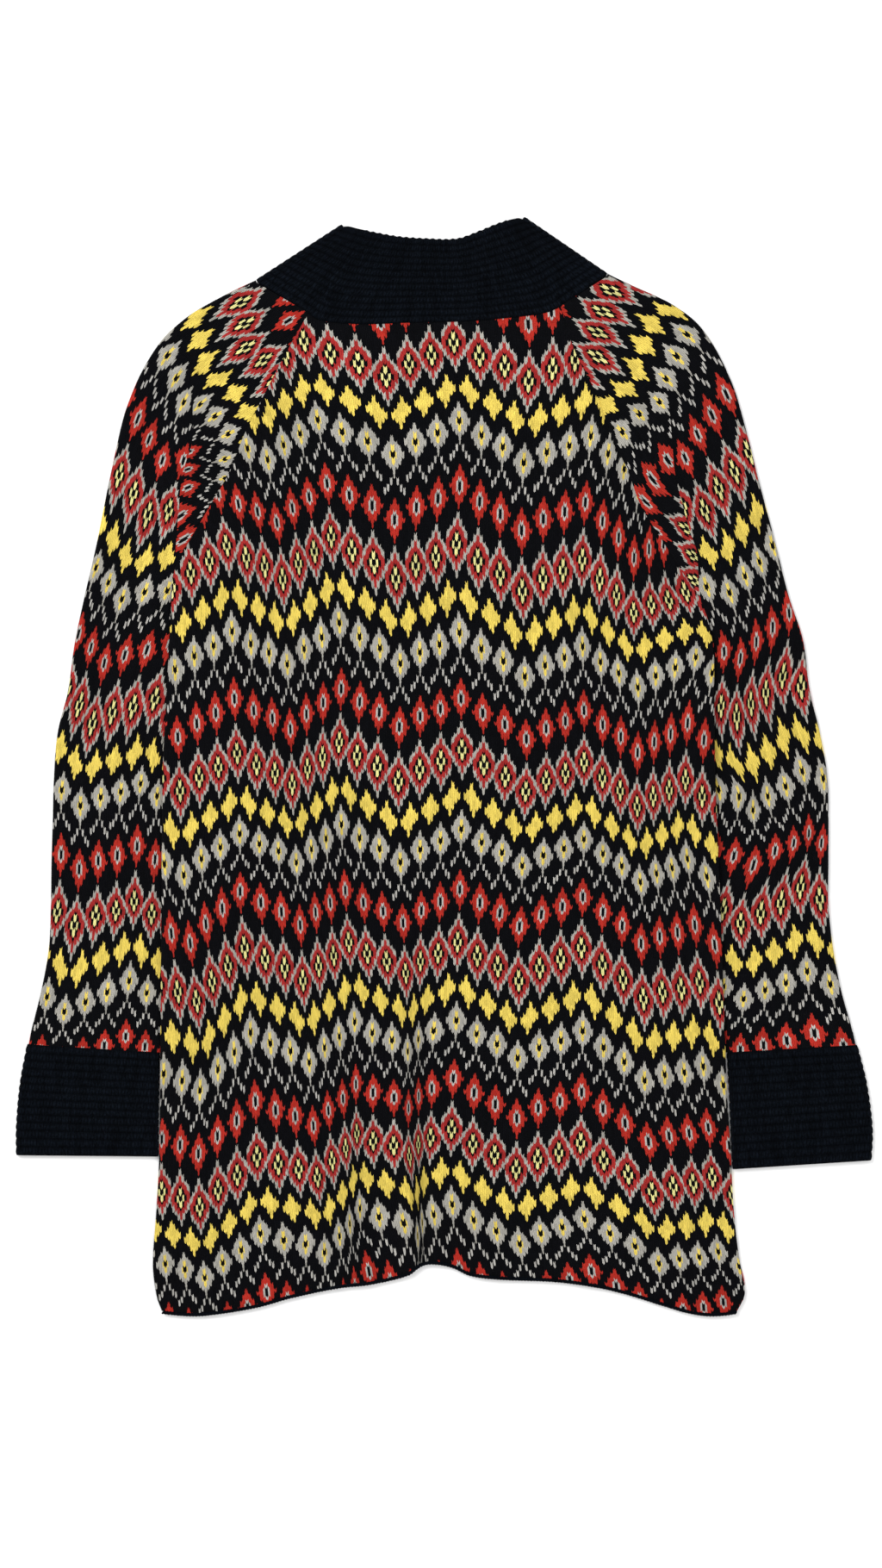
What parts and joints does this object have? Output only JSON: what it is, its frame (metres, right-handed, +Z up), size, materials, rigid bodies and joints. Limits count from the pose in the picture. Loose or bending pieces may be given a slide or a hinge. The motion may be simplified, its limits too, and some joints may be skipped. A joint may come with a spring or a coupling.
{
  "type": "cardigan",
  "caption": "Open-front raglan cardigan in a zigzag lozenge knit, laid face down, with a wide ribbed shawl collar, ribbed cuffs and a narrow hem edging.",
  "frame": {"origin": "middle of the cardigan's footprint, on the surface that it lies on", "axes": "+X to the wearer's right, across the back; +Y from the hem to the neck; +Z up, out of the back, away from the surface"},
  "size_m": [0.6773, 0.8677, 0.0129],
  "materials": {
    "patterned_knit": "multicoloured wool knit in red, crimson, grey and yellow lozenges on navy-black, matt with a soft nap",
    "ribbed_knit": "dark navy ribbed wool knit, matt",
    "edging_knit": "dark navy rolled knit edging, matt"
  },
  "bodies": {
    "root": {"back_panel": "patterned_knit", "front_left": "patterned_knit", "front_right": "patterned_knit", "sleeve_left": "patterned_knit", "sleeve_right": "patterned_knit", "cuff_left": "ribbed_knit", "cuff_right": "ribbed_knit", "collar": "ribbed_knit", "hem_edge_back": "edging_knit", "hem_edge_front_left": "edging_knit", "hem_edge_front_right": "edging_knit"}
  },
  "joints": []
}
